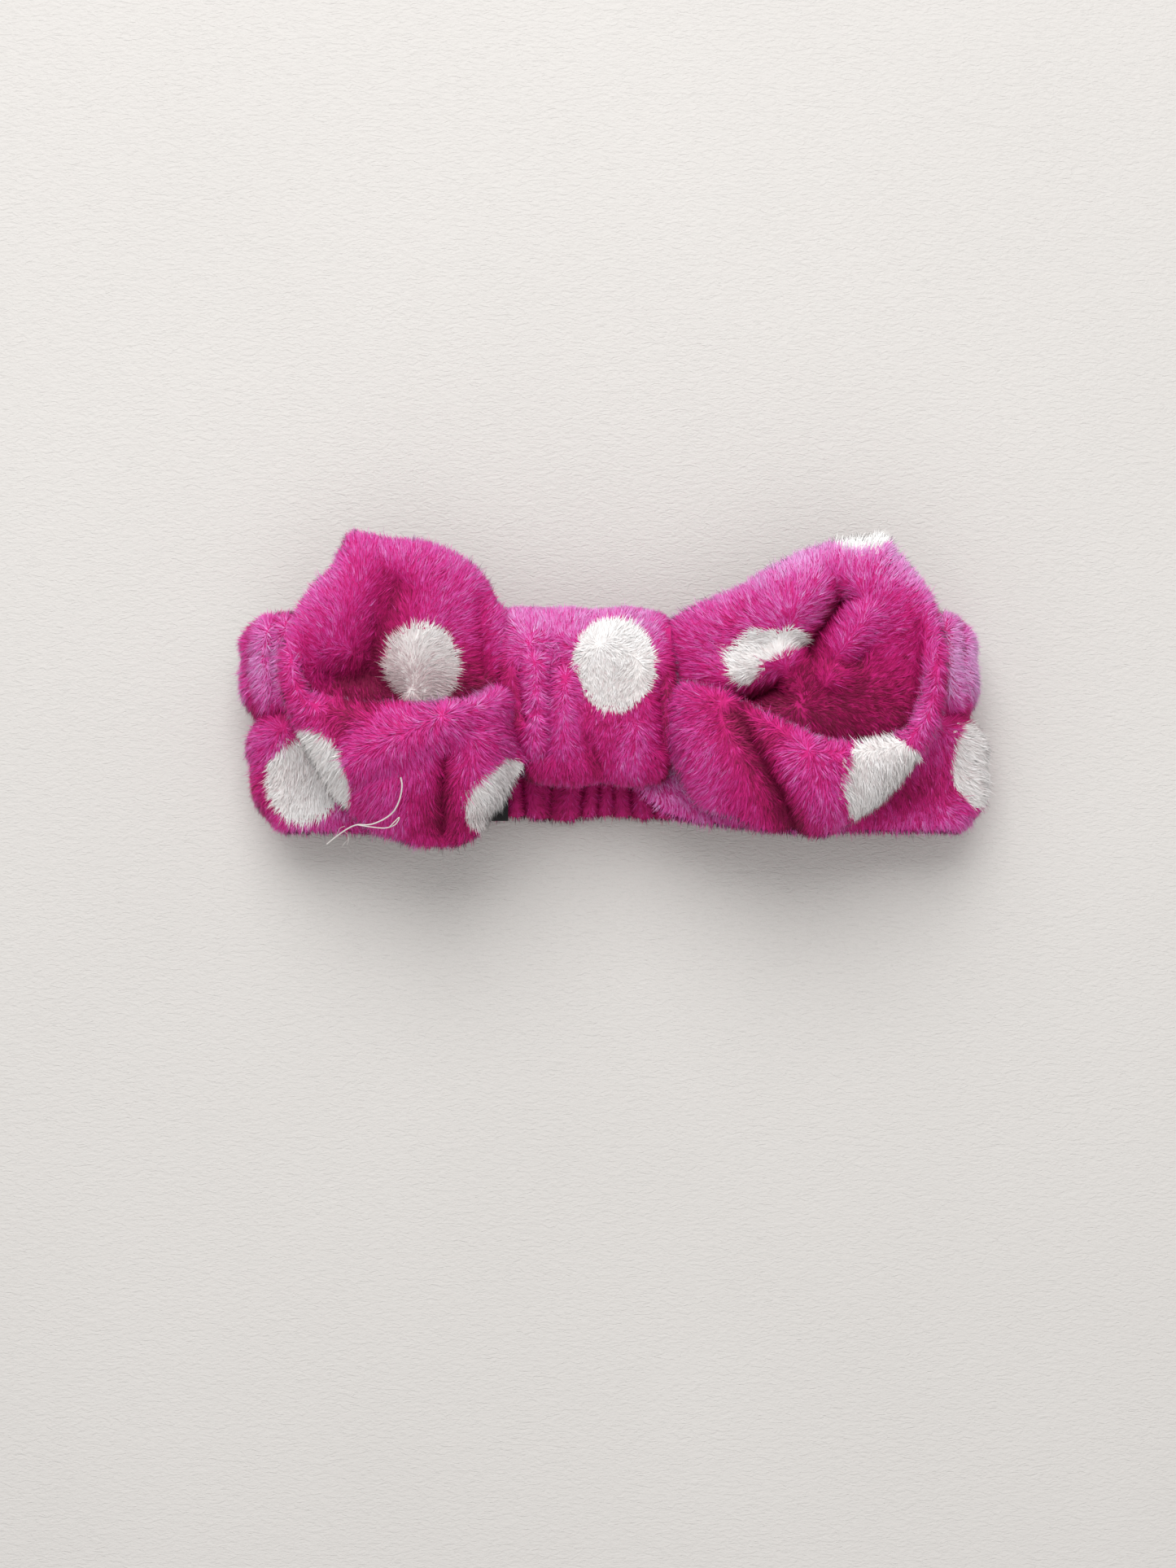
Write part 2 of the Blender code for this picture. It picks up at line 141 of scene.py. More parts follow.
def spline(points, shares):
    """Points at shares of the way along a smooth curve through the points (Catmull-Rom)."""
    points = np.asarray(points, float)
    ends = np.vstack([2 * points[0] - points[1], points, 2 * points[-1] - points[-2]])
    place = np.clip(shares, 0, 1) * (len(points) - 1)
    i = np.minimum(place.astype(int), len(points) - 2)
    t = (place - i)[:, None]
    a, b, c, d = (ends[i + k] for k in range(4))
    return 0.5 * (2 * b + (c - a) * t + (2 * a - 5 * b + 4 * c - d) * t**2 + (3 * b - a - 3 * c + d) * t**3)


def crease(points, start, end, width, depth):
    """How deep a fold that runs from start to end in plan is at each point. It fades at its ends."""
    start, end = np.array(start) * MM, np.array(end) * MM
    way = end - start
    plan = points[..., :2] - start
    share = (plan @ way) / (way @ way)
    away = np.linalg.norm(plan - np.clip(share, 0, 1)[..., None] * way, axis=-1)
    fade = smooth((share + 0.25) / 0.35) * smooth((1.25 - share) / 0.35)
    return depth * MM * fade * np.exp(-((away / (width * MM)) ** 2))


# ---------------------------------------------------------------- materials


def new_material(name, roughness):
    material = bpy.data.materials.new(name)
    material.use_nodes = True
    nodes, links = material.node_tree.nodes, material.node_tree.links
    shader = nodes["Principled BSDF"]
    shader.inputs["Roughness"].default_value = roughness
    return material, nodes, links, shader


def fibre_material(name, color, sheen, tint):
    """One colour of pile. Its variety comes from the fibres, which take different ones."""
    material, _, _, shader = new_material(name, 0.62)
    shader.inputs["Base Color"].default_value = (*color, 1)
    shader.inputs["Sheen Weight"].default_value = sheen
    shader.inputs["Sheen Roughness"].default_value = 0.35
    shader.inputs["Sheen Tint"].default_value = (*tint, 1)
    shader.inputs["Specular IOR Level"].default_value = 0.25
    return material


def knitted_material(name, dark, light, roughness, scale, bump):
    """A fine knit: rows of loops that the bump raises and the colour follows."""
    material, nodes, links, shader = new_material(name, roughness)
    place = nodes.new("ShaderNodeTexCoord")
    wave = nodes.new("ShaderNodeTexWave")
    wave.inputs["Scale"].default_value = scale
    wave.inputs["Distortion"].default_value = 1.5
    wave.inputs["Detail"].default_value = 2.0
    noise = nodes.new("ShaderNodeTexNoise")
    noise.inputs["Scale"].default_value = scale * 0.4
    blend = nodes.new("ShaderNodeMix")
    blend.data_type = "RGBA"
    blend.inputs["A"].default_value = (*dark, 1)
    blend.inputs["B"].default_value = (*light, 1)
    links.new(place.outputs["Object"], wave.inputs["Vector"])
    links.new(place.outputs["Object"], noise.inputs["Vector"])
    links.new(noise.outputs["Fac"], blend.inputs["Factor"])
    links.new(blend.outputs["Result"], shader.inputs["Base Color"])
    relief = nodes.new("ShaderNodeBump")
    relief.inputs["Strength"].default_value = bump
    relief.inputs["Distance"].default_value = 0.2 * MM
    links.new(wave.outputs["Fac"], relief.inputs["Height"])
    links.new(relief.outputs["Normal"], shader.inputs["Normal"])
    return material


def floor_material():
    """Pale leatherette: a fine pebbled grain with slow changes of tone."""
    material, nodes, links, shader = new_material("table_leatherette", 0.55)
    place = nodes.new("ShaderNodeTexCoord")
    stretch = nodes.new("ShaderNodeMapping")
    stretch.inputs["Scale"].default_value = (1.0, 2.6, 1.0)
    grain = nodes.new("ShaderNodeTexNoise")
    grain.inputs["Scale"].default_value = 380
    grain.inputs["Detail"].default_value = 3
    grain.inputs["Distortion"].default_value = 1.2
    tone = nodes.new("ShaderNodeTexNoise")
    tone.inputs["Scale"].default_value = 9
    blend = nodes.new("ShaderNodeMix")
    blend.data_type = "RGBA"
    blend.inputs["A"].default_value = (0.575, 0.562, 0.548, 1)
    blend.inputs["B"].default_value = (0.610, 0.597, 0.583, 1)
    relief = nodes.new("ShaderNodeBump")
    relief.inputs["Strength"].default_value = 0.9
    relief.inputs["Distance"].default_value = 0.35 * MM
    links.new(place.outputs["Object"], stretch.inputs["Vector"])
    links.new(stretch.outputs["Vector"], grain.inputs["Vector"])
    links.new(place.outputs["Object"], tone.inputs["Vector"])
    links.new(tone.outputs["Fac"], blend.inputs["Factor"])
    links.new(blend.outputs["Result"], shader.inputs["Base Color"])
    links.new(grain.outputs["Fac"], relief.inputs["Height"])
    links.new(relief.outputs["Normal"], shader.inputs["Normal"])
    shader.inputs["Specular IOR Level"].default_value = 0.3
    return material


ORCHID = (1.0, 0.62, 0.98)
WHITE_SHEEN = (1.0, 0.98, 0.98)
# Six lit and shaded tones of one cloth, from painted shadow in a fold's depth to painted highlight on ridges
# and edges; fibres also take them at random
FUCHSIA_TONES = (
    ("shadow", (0.22, 0.002, 0.050), 0.0),
    ("deep", (0.46, 0.004, 0.120), 0.1),
    ("mid", (0.64, 0.012, 0.215), 0.3),
    ("light", (0.70, 0.060, 0.370), 0.7),
    ("pale", (0.75, 0.190, 0.550), 0.9),
    ("painted_highlight", (0.80, 0.370, 0.730), 1.0),
)
WHITE_TONES = (
    ("shadow", (0.66, 0.52, 0.54), 0.0),
    ("deep", (0.80, 0.71, 0.72), 0.1),
    ("mid", (0.91, 0.87, 0.87), 0.2),
    ("light", (0.97, 0.95, 0.96), 0.3),
    ("pale", (0.98, 0.97, 0.98), 0.4),
    ("painted_highlight", (0.99, 0.985, 0.99), 0.5),
)
# Lit and shaded copies of the pile's material, one for each tone
FUCHSIA_PILE = [
    fibre_material(f"pile_fuchsia_{tone}", color, sheen, ORCHID) for tone, color, sheen in FUCHSIA_TONES
]
WHITE_PILE = [
    fibre_material(f"pile_white_{tone}", color, sheen, WHITE_SHEEN) for tone, color, sheen in WHITE_TONES
]
FUCHSIA_KNIT = knitted_material("backing_fuchsia", (0.45, 0.005, 0.13), (0.62, 0.010, 0.21), 0.9, 900, 0.5)
WHITE_KNIT = knitted_material("backing_white", (0.86, 0.80, 0.80), (0.94, 0.92, 0.91), 0.9, 900, 0.5)
ELASTIC_KNIT = knitted_material("elastic_knit", (0.66, 0.65, 0.62), (0.82, 0.81, 0.78), 0.75, 1200, 0.8)
LABEL_WEAVE = knitted_material("label_weave", (0.010, 0.010, 0.011), (0.030, 0.030, 0.032), 0.55, 1600, 0.8)
THREAD_SPUN = knitted_material("thread_spun", (0.78, 0.75, 0.72), (0.90, 0.88, 0.85), 0.5, 2600, 0.6)


# ---------------------------------------------------------------- cloth strips


def link(name, data):
    made = bpy.data.objects.new(name, data)
    bpy.context.scene.collection.objects.link(made)
    return made


def normals_of(grid, closed=False):
    """Unit normals of a grid of points, to the left of its rows when seen from outside."""
    if closed:
        along = np.roll(grid, -1, axis=0) - np.roll(grid, 1, axis=0)
    else:
        along = np.gradient(grid, axis=0)
    return unit(np.cross(along, np.gradient(grid, axis=1)))


def edge_profile(across):
    past = np.maximum(0.0, (np.abs(across) - EDGE_START) / (1 - EDGE_START))
    return np.sqrt(np.maximum(0.0, 1 - past * past))


def in_dots(points, faces, dots):
    """True where a point lies in a dot of its own face: 1 for the outer ply and -1 for the lining."""
    found = np.zeros(len(points), bool)
    for centre, radii, face in dots:
        near = (((points - centre) / (np.array(radii) * MM)) ** 2).sum(axis=1) < 1
        found |= near & (faces == face)
    return found


def make_strip(
    name, middle, half, dots, comb, painted_tone=0.0, inner_painted_tone=None, closed=False, outwards=1, length=1.0, seed=0
):
    """A strip of two plies: its backing, and the fibres that grow from it. middle is its middle surface
    as a grid, half the thickness to each side, and comb gives the way the pile lies at each point.
    The two tone offsets, one for the outer ply and one for the lining, paint light and shade into the pile as
    lighter or darker tones."""
    normal = normals_of(middle, closed) * outwards
    rows, columns = middle.shape[:2]
    outer = middle + normal * half[..., None]
    lining = (middle - normal * half[..., None])[:, ::-1]
    skin = np.concatenate([outer, lining], axis=1)
    ring = 2 * columns
    faces = []
    turns = rows if closed else rows - 1
    for row in range(turns):
        onward = (row + 1) % rows
        for i in range(ring):
            j = (i + 1) % ring
            faces.append((row * ring + i, row * ring + j, onward * ring + j, onward * ring + i))
    faces = np.array(faces)
    points = skin.reshape(-1, 3)
    side = np.tile(np.repeat([1.0, -1.0], columns), rows)
    painted_tone = np.broadcast_to(painted_tone, (rows, columns))
    inner_painted_tone = -painted_tone if inner_painted_tone is None else np.broadcast_to(inner_painted_tone, (rows, columns))
    # tint holds the painted light and shade of both plies, as tone offsets for their fibres
    tint = np.concatenate([painted_tone, inner_painted_tone[:, ::-1]], axis=1).reshape(-1)
    a, b, c = (points[faces[:, k]] for k in (0, 1, 3))
    probe = np.cross(b - a, c - a)
    centre_normal = np.concatenate([normal, -normal[:, ::-1]], axis=1).reshape(-1, 3)[faces[:, 0]]
    if np.einsum("ij,ij->i", probe, centre_normal).sum() < 0:
        faces = faces[:, ::-1]
    mesh = bpy.data.meshes.new(name)
    everything = faces.tolist()
    if not closed:
        caps = [list(range(ring)), list(range((rows - 1) * ring, rows * ring))]
        everything += [caps[0][::-1], caps[1]] if faces[0][0] < faces[0][1] else [caps[0], caps[1][::-1]]
    mesh.from_pydata(points.tolist(), [], everything)
    mesh.materials.append(FUCHSIA_KNIT)
    mesh.materials.append(WHITE_KNIT)
    dotted = in_dots(points, side, dots)
    mesh.polygons.foreach_set(
        "material_index", [int(dotted[face[0]]) if len(face) == 4 else 0 for face in everything]
    )
    mesh.shade_smooth()
    backing = link(name, mesh)
    vertex_normals = np.empty(len(points) * 3, np.float32)
    mesh.vertex_normals.foreach_get("vector", vertex_normals)
    vertex_normals = vertex_normals.reshape(-1, 3).astype(float)
    pile = grow_pile(f"{name}_pile", points, vertex_normals, side, tint, faces, dots, comb, length, seed)
    return backing, pile


def grow_pile(name, points, normals, side, tint, faces, dots, comb, length, seed):
    """Fibres over a skin of quads. Each is a thin spike with an upper and an under face. It lies along
    the comb, leans with its tuft, and is shaded with the cloth's own curve as well as its own."""
    rng = np.random.default_rng(RNG_SEED + seed)
    triangles = np.concatenate([faces[:, [0, 1, 2]], faces[:, [0, 2, 3]]])
    a, b, c = (points[triangles[:, k]] for k in range(3))
    area = np.linalg.norm(np.cross(b - a, c - a), axis=1) / 2
    count = MOST_FIBRES
    chosen = rng.choice(len(triangles), count, p=area / area.sum())
    u, v = rng.random((2, count))
    over = u + v > 1
    u[over], v[over] = 1 - u[over], 1 - v[over]
    weight = np.stack([1 - u - v, u, v], axis=1)[..., None]
    corner = triangles[chosen]
    root = (points[corner] * weight).sum(axis=1)
    normal = unit((normals[corner] * weight).sum(axis=1))
    face = np.sign((side[corner] * weight[..., 0]).sum(axis=1))
    lay = comb(root, face, normal)
    lay = unit(lay - normal * (lay * normal).sum(axis=1, keepdims=True) + rng.normal(size=root.shape) * 1e-4)
    swirl = 0.3 * wander(root, 9 * MM, seed) + 0.2 * wander(root, 3 * MM, seed + 1)
    swirl += rng.normal(size=count) * 0.22
    lay = lay * np.cos(swirl)[:, None] + np.cross(normal, lay) * np.sin(swirl)[:, None]
    astray = np.stack([wander(root, 3 * MM, seed + k) for k in (3, 4, 5)], axis=1)
    cell = np.floor((root + 0.5 * TUFT * astray) / TUFT).astype(int)
    _, tuft = np.unique(cell @ np.array([1, 4001, 16008001]), return_inverse=True)
    tuft = tuft.reshape(-1)
    tufts = tuft.max() + 1
    tuft_tone = rng.normal(size=tufts)[tuft]
    reach = PILE_LENGTH * length * np.clip(1 + 0.10 * tuft_tone + rng.normal(size=count) * 0.16, 0.5, 1.4)
    reach *= np.where(rng.random(count) < WISPS, WISP_LENGTH, 1.0)
    lift = np.clip(LIFT + 0.16 * rng.normal(size=tufts)[tuft] + rng.normal(size=count) * 0.16, 0.2, 1.4)
    growth = unit(normal * lift[:, None] + lay + rng.normal(size=root.shape) * 0.10)
    tip = root + growth * reach[:, None]
    members = np.bincount(tuft)
    middle = np.stack([np.bincount(tuft, tip[:, k]) / members for k in range(3)], axis=1)[tuft]
    tip += (middle - tip) * (TUFT_PULL * rng.random(count))[:, None]
    growth = unit(tip - root)
    flat = unit(np.cross(growth, normal) + rng.normal(size=root.shape) * 0.25)
    up = unit(np.cross(flat, growth))
    up *= np.sign((up * normal).sum(axis=1, keepdims=True))
    half = FIBRE_WIDTH / 2 * (1 + rng.normal(size=count) * 0.15)[:, None]
    left, right = root - flat * half, root + flat * half
    flip = (np.cross(right - left, tip - left) * up).sum(axis=1) < 0
    left[flip], right[flip] = right[flip], left[flip]
    under = up * FIBRE_THICKNESS
    vertices = np.stack([left, right, tip, left - under, right - under], axis=1)
    vertices[..., 2] = np.maximum(vertices[..., 2], TABLE_GAP)
    shading = unit(normal * (1 - OWN_SHADE) + up * OWN_SHADE + rng.normal(size=root.shape) * 0.12)
    dotted = in_dots(root + rng.normal(size=root.shape) * 0.25 * MM, face, dots)
    # Painted light and shade from the strip's tone offsets, then random tone
    tone = MIDDLE_TONE + (tint[corner] * weight[..., 0]).sum(axis=1)
    tone += 0.4 * tuft_tone + rng.normal(size=count) * 0.5
    tone = np.clip(np.round(tone), 0, len(FUCHSIA_PILE) - 1).astype(int)
    start = np.arange(count)[:, None] * 5
    corners = np.concatenate([start + [0, 1, 2], start + [4, 3, 2]], axis=1).reshape(-1)
    mesh = bpy.data.meshes.new(name)
    mesh.vertices.add(count * 5)
    mesh.vertices.foreach_set("co", vertices.reshape(-1).astype(np.float32))
    mesh.loops.add(len(corners))
    mesh.loops.foreach_set("vertex_index", corners.astype(np.int32))
    mesh.polygons.add(count * 2)
    mesh.polygons.foreach_set("loop_start", np.arange(0, len(corners), 3, dtype=np.int32))
    for material in FUCHSIA_PILE + WHITE_PILE:
        mesh.materials.append(material)
    slots = np.repeat(tone + len(FUCHSIA_PILE) * dotted, 2)
    mesh.polygons.foreach_set("material_index", slots.astype(np.int32))
    mesh.update(calc_edges=True)
    mesh.shade_smooth()
    mesh.normals_split_custom_set_from_vertices(np.repeat(shading, 5, axis=0).astype(np.float32))
    return link(name, mesh)


def comb_along(direction, lining=None, centre=None, downhill=1.6):
    """Which way pile lies: a way for each ply, or away from a centre on the lining, and downhill."""
    outer = np.array(direction, float)
    inner = outer if lining is None else np.array(lining, float)

    def comb(points, face, normal):
        inside = np.broadcast_to(inner, points.shape)
        if centre is not None:
            inside = inside + unit((points - np.array(centre) * MM) * (1, 1, 0))
        lay = np.where(face[:, None] > 0, outer, inside)
        return lay + normal * (downhill, downhill, 0)

    return comb


# ---------------------------------------------------------------- the band

SLUMP = 17 * MM  # how much lower the front half hangs out beside the knot, on the right
PLEAT_Y = -6.0 * MM
PLEAT_WIDTH = 3.2 * MM
PLEAT_DEPTH = 3.0 * MM
UPPER_LOBE_PAINTED_LIGHT = {-1: 0.8, 1: 1.8}  # how much lighter the upper lobe's pile is painted, in tones
GATHER_PITCH = 6.4 * MM
GATHER_NARROWS = 3.2 * MM
GROOVE_DROP = 0.5 * MM  # of the cloth's middle, where the elastic draws it together
# How far each end of the band draws in from its greatest length, in millimetres, from its lower edge
# to its upper edge
LEFT_END = (9.0, 4.0, 1.5, 1.0, 3.5, 0.0, -1.8, -0.8, 4.5)
RIGHT_END = (4.0, 0.5, -1.6, -1.2, 4.2, 2.6, 1.6, 2.8, 8.0)


def draw_in(across, profile):
    return np.interp(across, np.linspace(-1, 1, len(profile)), profile) * MM


def band_waist(x):
    return 1 - smooth((np.abs(x - KNOT_X) - (KNOT_HIGH[0] - KNOT_LOW[0]) / 2) / WAIST_RAMP)


def band_across(x, across):
    share = band_waist(x)
    wave = 0.9 * MM * np.sin(x / (5.1 * MM)) * np.exp(-((np.abs(x - KNOT_X) - 34 * MM) / (22 * MM)) ** 2)
    y = mix(BAND_Y, KNOT_Y, share) + mix(BAND_HALF, WAIST_HALF, share) * across
    slump = smooth((x - KNOT_X - 2 * MM) / (24 * MM)) * share
    return y + (wave - SLUMP * slump) * np.clip(-across, 0, 1) ** 2


def band_relief(x, y):
    """How far the front half's middle surface stands up or down: the lengthwise pleat, the pleats across
    it near its ends, and slow lumps."""
    far = smooth((np.abs(x - KNOT_X) - 40 * MM) / (30 * MM))
    pleat = -PLEAT_DEPTH * far * np.exp(-(((y - PLEAT_Y) / PLEAT_WIDTH) ** 2))
    near_end = smooth((np.abs(x) - 84 * MM) / (10 * MM)) * smooth((y - PLEAT_Y) / (8 * MM))
    lines = 1.1 * MM * near_end * np.sin(x / (0.95 * MM) + 1.3 * np.sin(y / (7 * MM)))
    lumps = 0.8 * MM * far * wander(np.stack([x, y, 0 * x], axis=-1), 13 * MM, 3)
    return pleat + lines + lumps


def front_grid(start, end):
    """The middle surface of half of the front from its end to the knot, and the thickness to each side."""
    rows = int(abs(end - start) / STEP) + 1
    x, across = np.meshgrid(np.linspace(start, end, rows), np.linspace(-1, 1, ACROSS), indexing="ij")
    y = band_across(x, across)
    share = band_waist(x)
    rays = 1.3 * MM * np.sin(across * 11 + 0.8) * smooth(1.6 * share) * (1 - 0.5 * share)
    grid = np.stack([x, y, FRONT_Z + rays + band_relief(x, y)], axis=-1)
    return grid, mix(BACKING, BACKING * 0.6, share) * edge_profile(across)


def end_grid(side):
    """The middle surface of an end of the band, from under to over."""
    angle, across = np.meshgrid(np.linspace(0, math.pi, 40), np.linspace(-1, 1, ACROSS), indexing="ij")
    out = FOLD_RADIUS - draw_in(across, LEFT_END if side < 0 else RIGHT_END)
    y = BAND_Y + BAND_HALF * across
    over = smooth((angle - 1.2) / 1.2)
    gathers = 0.7 * MM * np.sin(y / (2.4 * MM) + 1.2 * np.sin(angle)) * np.sin(angle)
    x = side * (FOLD_X + (out + gathers) * np.sin(angle))
    grid = np.stack([x, y, FOLD_Z - FOLD_RADIUS * np.cos(angle)], axis=-1)
    grid[..., 2] += band_relief(x, y) * over
    return grid, BACKING * edge_profile(across)


def back_grid():
    """The gathered half: puffs between the grooves where the elastic draws the cloth together."""
    rows = int(2 * FOLD_X / (STEP * 0.6)) + 1
    x, across = np.meshgrid(np.linspace(-FOLD_X, FOLD_X, rows), np.linspace(-1, 1, ACROSS), indexing="ij")
    drift = 2.4 * MM * np.sin(x / (9.7 * MM)) + 1.7 * MM * np.sin(x / (4.3 * MM) + 1)
    phase = (x + drift) / GATHER_PITCH * math.pi + 0.7 * np.sin(across * 2.3 + x / (7 * MM))
    puff = np.abs(np.sin(phase)) ** (0.6 + 0.4 * np.sin(x / (5.9 * MM)) ** 2)
    calm = smooth((FOLD_X - np.abs(x)) / (12 * MM))
    y = BAND_Y + (BAND_HALF - GATHER_NARROWS * calm) * across
    ragged = 0.9 * (puff - 0.6) + 0.7 * wander(np.stack([x, y, 0 * x], axis=-1), 9 * MM, 8)
    y += calm * ragged * MM * np.sign(across) * np.abs(across) ** 4
    grid = np.stack([x, y, np.full_like(x, BACK_Z)], axis=-1)
    half = BACKING * (1 - calm * 0.9 * (1 - puff)) * edge_profile(across)
    grid[..., 2] += calm * (puff - 1) * GROOVE_DROP
    # The third value is painted shade: darker in the grooves, and less so on the puffs
    return grid, np.maximum(half, THINNEST), calm * (1.8 * puff - 2.2)


def finish_cloth(pair, nodes, body=None, blend=None):
    """Joins a strip and its pile to its CAD body, or, given blend, bakes their place into their meshes."""
    for piece in pair:
        if blend:
            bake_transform(piece)
        else:
            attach(piece, body)
    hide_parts(*nodes)


def make_band():
    dots = [
        (share_of("left_side_outer", 1.35, 0.23, 1.0), (11, 12, 14), 1),
        (share_of("right_side_outer", 0.72, 0.31, 0.8), (9, 13, 14), 1),
        (share_of("left_side_outer", 0.3, 0.9, 0.2), (12, 12, 9), 1),
        (share_of("front_band_lining", 0.2, 0.7, 0.1), (12, 12, 9), -1),
        (share_of("front_band_lining", 0.75, 0.35, 0.1), (12, 12, 9), -1),
    ]
    comb = comb_along((0.1, -0.5, 0))
    for name, side, root in (("left", -1, KNOT_LOW[0]), ("right", 1, KNOT_HIGH[0])):
        parts = [end_grid(side), front_grid(side * FOLD_X, KNOT_X)]
        grid = np.concatenate([parts[0][0], parts[1][0][1:]])
        half = np.maximum(np.concatenate([parts[0][1], parts[1][1][1:]]), THINNEST)
        x, y = grid[..., 0], grid[..., 1]
        # Painted light and shade: darker in the pleats and lighter on their ridges, lighter on the upper
        # lobe, darker at the waist by the knot, lighter where the front hangs beside it
        painted_light = np.clip(band_relief(x, y) / (1.2 * MM), -1.6, 1.0)
        painted_light += UPPER_LOBE_PAINTED_LIGHT[side] * smooth((y + 8 * MM) / (18 * MM)) + 0.2
        hanging = band_waist(x) * smooth((x - KNOT_X) / (20 * MM)) * smooth((KNOT_Y - y) / (12 * MM))
        painted_light = painted_light - 0.6 * band_waist(x) + 1.8 * hanging
        pair = make_strip(f"band_{name}", grid, half, dots, comb, painted_tone=painted_light, outwards=-side, seed=20 + side)
        nodes = (f"{name}_side_outer", f"{name}_side_lining", "front_band_outer", "front_band_lining")
        ramp = ("back", "front", (side * FOLD_X, 0, 0), (root, 0, 0))
        finish_cloth(pair, nodes, blend=ramp)
    grid, half, puff = back_grid()
    dots = [
        (share_of("back_band_outer", 0.44, -0.18, 1.0), (13, 13, 9), -1),
        (share_of("back_band_outer", 0.15, 0.6, 0.0), (12, 12, 9), 1),
        (share_of("back_band_outer", 0.5, 0.35, 0.0), (12, 12, 9), 1),
        (share_of("back_band_outer", 0.83, 0.7, 0.0), (12, 12, 9), 1),
    ]
    # puff is painted shade here: darker in the elastic's grooves
    pair = make_strip(
        "back_band", grid, half, dots, comb, painted_tone=puff, inner_painted_tone=puff, outwards=-1, length=0.75, seed=40
    )
    finish_cloth(pair, ("back_band_outer", "back_band_lining"), body="back")


# ---------------------------------------------------------------- the knot wrap

KNOT_SLANT = 8 * MM
KNOT_SLANT_START = 5 * MM
KNOT_ROUND = 2.3
KNOT_BARREL = 3 * MM


def knot_place(share, y):
    lean = KNOT_SLANT * smooth((KNOT_SLANT_START - y) / (KNOT_SLANT_START + (KNOT_HIGH[1] - KNOT_LOW[1]) / 2))
    round_off = KNOT_BARREL * np.minimum(1, ((y - KNOT_Y) / (KNOT_HIGH[1] - KNOT_LOW[1]) * 2) ** 2)
    return mix(KNOT_LOW[0] + lean, KNOT_HIGH[0] - round_off, share)


def make_knot():
    count = 120
    angle, across = np.meshgrid(
        np.arange(count) * math.tau / count, np.linspace(-1, 1, ACROSS), indexing="ij"
    )
    inset = PILE_RISE + BACKING * 0.8
    radius_y = (KNOT_HIGH[1] - KNOT_LOW[1]) / 2 - inset
    radius_z = (KNOT_HIGH[2] - KNOT_LOW[2]) / 2 - inset
    c, s = np.cos(angle), np.sin(angle)
    y = KNOT_Y + np.sign(c) * np.abs(c) ** (2 / KNOT_ROUND) * radius_y
    z = (KNOT_LOW[2] + KNOT_HIGH[2]) / 2 + np.sign(s) * np.abs(s) ** (2 / KNOT_ROUND) * radius_z
    x = knot_place((across + 1) / 2, y)
    grid = np.stack([x, y, z], axis=-1)
    top = smooth(s * 1.5)
    folds = crease(grid, (-18.5, 6), (-19.5, -17), 1.5, -6.0)
    folds += crease(grid, (-26.5, 7), (-24.5, -8), 1.4, -5.0)
    folds += crease(grid, (-22.7, 8), (-21.7, -16), 2.0, 1.8)
    folds += crease(grid, (-14.5, 4), (-14.5, -16), 2.4, 1.4)
    folds += crease(grid, (-8, -12), (-4, -24), 3.0, -1.6)
    folds += crease(grid, (5, -10), (4, -24), 3.0, 1.4)
    folds += crease(grid, (12, 4), (12.5, -16), 1.8, -3.0)
    waves = 0.35 * MM * np.sin(x / (2.6 * MM)) * smooth((np.abs(y - KNOT_Y) - 14 * MM) / (8 * MM))
    outwards = np.stack([np.zeros_like(x), c, s], axis=-1)
    pressed = -1.6 * MM * smooth((np.abs(across) - 0.6) / 0.4) * top
    grid += outwards * (folds * top + pressed + waves + 0.45 * MM * wander(grid, 11 * MM, 5))[..., None]
    half = np.maximum(BACKING * 0.8 * edge_profile(across), THINNEST)
    dots = [
        (share_of("knot_wrap", 0.655, 0.68, 1.0), (11.3, 14.0, 12), 1),
        (share_of("knot_wrap", 0.2, 0.4, 0.0), (11.3, 12.0, 9), 1),
    ]
    # Painted light and shade: darker in the creases and lighter on their ridges, lighter towards +Y, the side
    # of the window lamp, darker at the wrap's two edges and towards -Y
    painted_light = np.clip(folds / (1.1 * MM), -3.0, 0.8) * top + 2.1 * smooth((y - 2 * MM) / (20 * MM)) - 0.2
    painted_light = painted_light - 1.2 * smooth((np.abs(across) - 0.78) / 0.2) - 0.2 * smooth((-14 * MM - y) / (10 * MM))
    comb = comb_along((0, -0.5, 0), downhill=2.2)
    pair = make_strip(
        "knot_wrap_cloth", grid, half, dots, comb, painted_tone=painted_light, closed=True, length=0.8, seed=50
    )
    finish_cloth(pair, ("knot_wrap",), body="front")


# ---------------------------------------------------------------- the bow

